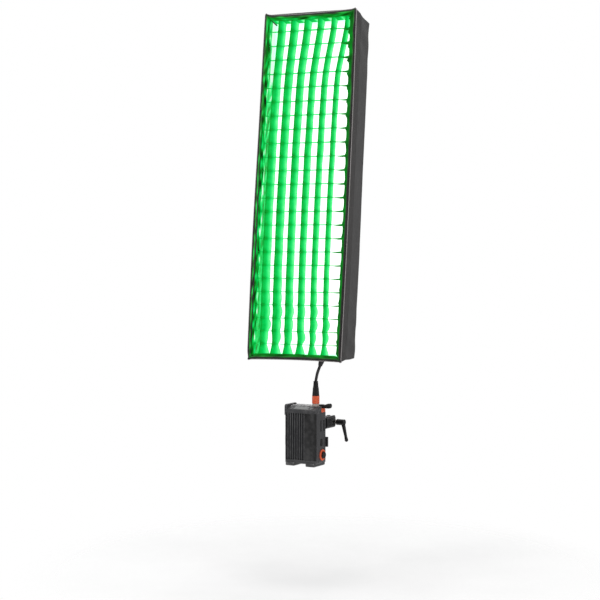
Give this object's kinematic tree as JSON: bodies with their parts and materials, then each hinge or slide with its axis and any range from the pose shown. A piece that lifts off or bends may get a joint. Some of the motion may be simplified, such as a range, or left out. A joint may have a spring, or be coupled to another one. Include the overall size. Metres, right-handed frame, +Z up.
{
  "type": "strip softbox",
  "caption": "Tall strip softbox with a ribbon grid and a flexible lamp mat, on a tilting stand bracket, with its lead and a finned control box on a pole clamp.",
  "frame": {"origin": "centre of the stand socket's mouth, on the stand column's axis", "axes": "+Z up the column, -Y the way the softbox faces, +X towards the clamp handle's side"},
  "size_m": [0.35, 0.32, 1.6356],
  "materials": {
    "anodised": "black anodised, satin",
    "black_plastic": "moulded nylon, fine texture",
    "board": "solder-masked board",
    "cable": "soft black jacket",
    "cap_plastic": "dark grey moulding",
    "casting": "black powder coat on cast aluminium",
    "diffuser_cloth": "white diffusion cloth, lit",
    "grid_ribbon": "nylon ribbon, shown lit green",
    "housing": "dark grey satin paint on extruded aluminium",
    "mat_cloth": "woven cloth laminate",
    "orange": "orange-red moulding",
    "pale_plastic": "pale moulding",
    "potting": "potted supply",
    "screen": "glossy window",
    "skirt_fabric": "black coated ripstop",
    "spring_steel": "spring steel",
    "steel": "zinc plated"
  },
  "bodies": {
    "stand_side": {"receiver": "casting", "tilt_bolt": "steel", "lead_lower": "cable", "plug_shell": "black_plastic", "lead_socket": "pale_plastic", "box_shell": "housing", "front_fins": "housing", "front_trim": "housing", "side_plate": "housing", "rear_panel": "housing", "top_cap": "cap_plastic", "bottom_cap": "cap_plastic", "display": "screen", "control_board": "board", "power_supply": "potting", "fan_frame": "black_plastic", "inlet_collar": "orange", "inlet_core": "black_plastic", "cam_base": "orange", "clamp_body": "casting", "bracket_plate": "casting", "bracket_screws": "steel"},
    "head": {"skirt_left": "skirt_fabric", "skirt_right": "skirt_fabric", "skirt_top": "skirt_fabric", "skirt_bottom": "skirt_fabric", "back_flap": "skirt_fabric", "front_band": "skirt_fabric", "rim_wire": "spring_steel", "grid": "grid_ribbon", "diffuser": "diffuser_cloth", "led_mat": "mat_cloth", "mat_terminal": "black_plastic", "arm_upper_left": "anodised", "arm_upper_right": "anodised", "arm_lower_left": "anodised", "arm_lower_right": "anodised", "corner_posts": "spring_steel", "corner_blocks": "black_plastic", "arm_bolts": "steel", "hub_plate": "anodised", "hub_screws": "steel", "tongue": "casting", "lead_upper": "cable", "lead_boot": "cable"},
    "tilt_nut": {"tilt_nut": "steel"},
    "tilt_handle": {"tilt_handle": "black_plastic"},
    "stud_screw": {"stud_screw": "steel"},
    "stud_knob": {"stud_knob": "black_plastic"},
    "coupling_ring": {"coupling_ring": "orange"},
    "fan_rotor": {"fan_rotor": "black_plastic"},
    "rocker_switch": {"rocker_switch": "black_plastic"},
    "dial_left": {"dial_left": "cap_plastic"},
    "dial_right": {"dial_right": "cap_plastic"},
    "button_1": {"button_1": "cap_plastic"},
    "button_2": {"button_2": "cap_plastic"},
    "cam_lever": {"cam_lever": "black_plastic"},
    "clamp_pad": {"clamp_pad": "anodised"},
    "clamp_screw": {"clamp_screw": "steel"},
    "clamp_handle": {"clamp_handle": "black_plastic"}
  },
  "joints": [
    {"name": "head_tilt", "type": "hinge", "parent": "stand_side", "child": "head", "pos_m": [0, 0, 0.078], "axis": [-1, 0, 0], "range_deg": [-9, 15]},
    {"name": "tilt_lock_turn", "type": "hinge", "parent": "stand_side", "child": "tilt_nut", "pos_m": [0, 0, 0.078], "axis": [1, 0, 0], "range_deg": [0, 180]},
    {"name": "tilt_handle_pull", "type": "slide", "parent": "tilt_nut", "child": "tilt_handle", "axis": [1, 0, 0], "range_m": [0, 0.004], "stiffness_N_per_m": 800, "springref_m": -0.003},
    {"name": "stud_screw_travel", "type": "slide", "parent": "stand_side", "child": "stud_screw", "axis": [0, 1, 0], "range_m": [0, 0.00375]},
    {"name": "stud_knob_turn", "type": "hinge", "parent": "stud_screw", "child": "stud_knob", "pos_m": [0, 0.038, 0.028], "axis": [0, 1, 0], "range_deg": [0, 1080]},
    {"name": "coupling_ring_turn", "type": "hinge", "parent": "stand_side", "child": "coupling_ring", "pos_m": [0.0175, -0.11, -0.67], "axis": [0, 0, 1], "range_deg": [0, 60]},
    {"name": "fan_spin", "type": "hinge", "parent": "stand_side", "child": "fan_rotor", "pos_m": [-0.03326, -0.10674, -0.854], "axis": [0.1219, 0.9925, 0], "continuous": true},
    {"name": "rocker_toggle", "type": "hinge", "parent": "stand_side", "child": "rocker_switch", "pos_m": [0.03335, -0.10585, -0.828], "axis": [0.1219, 0.9925, 0], "range_deg": [0, 12]},
    {"name": "dial_left_turn", "type": "hinge", "parent": "stand_side", "child": "dial_left", "pos_m": [-0.05755, -0.05842, -0.858], "axis": [0.1219, 0.9925, 0], "continuous": true},
    {"name": "dial_right_turn", "type": "hinge", "parent": "stand_side", "child": "dial_right", "pos_m": [0.01789, -0.06768, -0.858], "axis": [0.1219, 0.9925, 0], "continuous": true},
    {"name": "button_1_press", "type": "slide", "parent": "stand_side", "child": "button_1", "axis": [-0.1219, -0.9925, 0], "range_m": [0, 0.0015], "stiffness_N_per_m": 400, "springref_m": -0.001},
    {"name": "button_2_press", "type": "slide", "parent": "stand_side", "child": "button_2", "axis": [-0.1219, -0.9925, 0], "range_m": [0, 0.0015], "stiffness_N_per_m": 400, "springref_m": -0.001},
    {"name": "cam_turn", "type": "hinge", "parent": "stand_side", "child": "cam_lever", "pos_m": [0.03176, -0.09004, -0.69], "axis": [0, 0, 1], "range_deg": [0, 90]},
    {"name": "clamp_pad_travel", "type": "slide", "parent": "stand_side", "child": "clamp_pad", "axis": [0.9925, -0.1219, 0], "range_m": [0, 0.009]},
    {"name": "clamp_screw_turn", "type": "hinge", "parent": "clamp_pad", "child": "clamp_screw", "pos_m": [0.0397, -0.00487, -0.764], "axis": [0.9925, -0.1219, 0], "range_deg": [0, 2160]},
    {"name": "clamp_handle_pull", "type": "slide", "parent": "clamp_screw", "child": "clamp_handle", "axis": [0.9925, -0.1219, 0], "range_m": [0, 0.004], "stiffness_N_per_m": 800, "springref_m": -0.003}
  ],
  "couplings": [
    {"joint": "stud_knob_turn", "follows": "stud_screw_travel", "rad_per_m": 5026.5},
    {"joint": "clamp_screw_turn", "follows": "clamp_pad_travel", "rad_per_m": 4188.7}
  ]
}
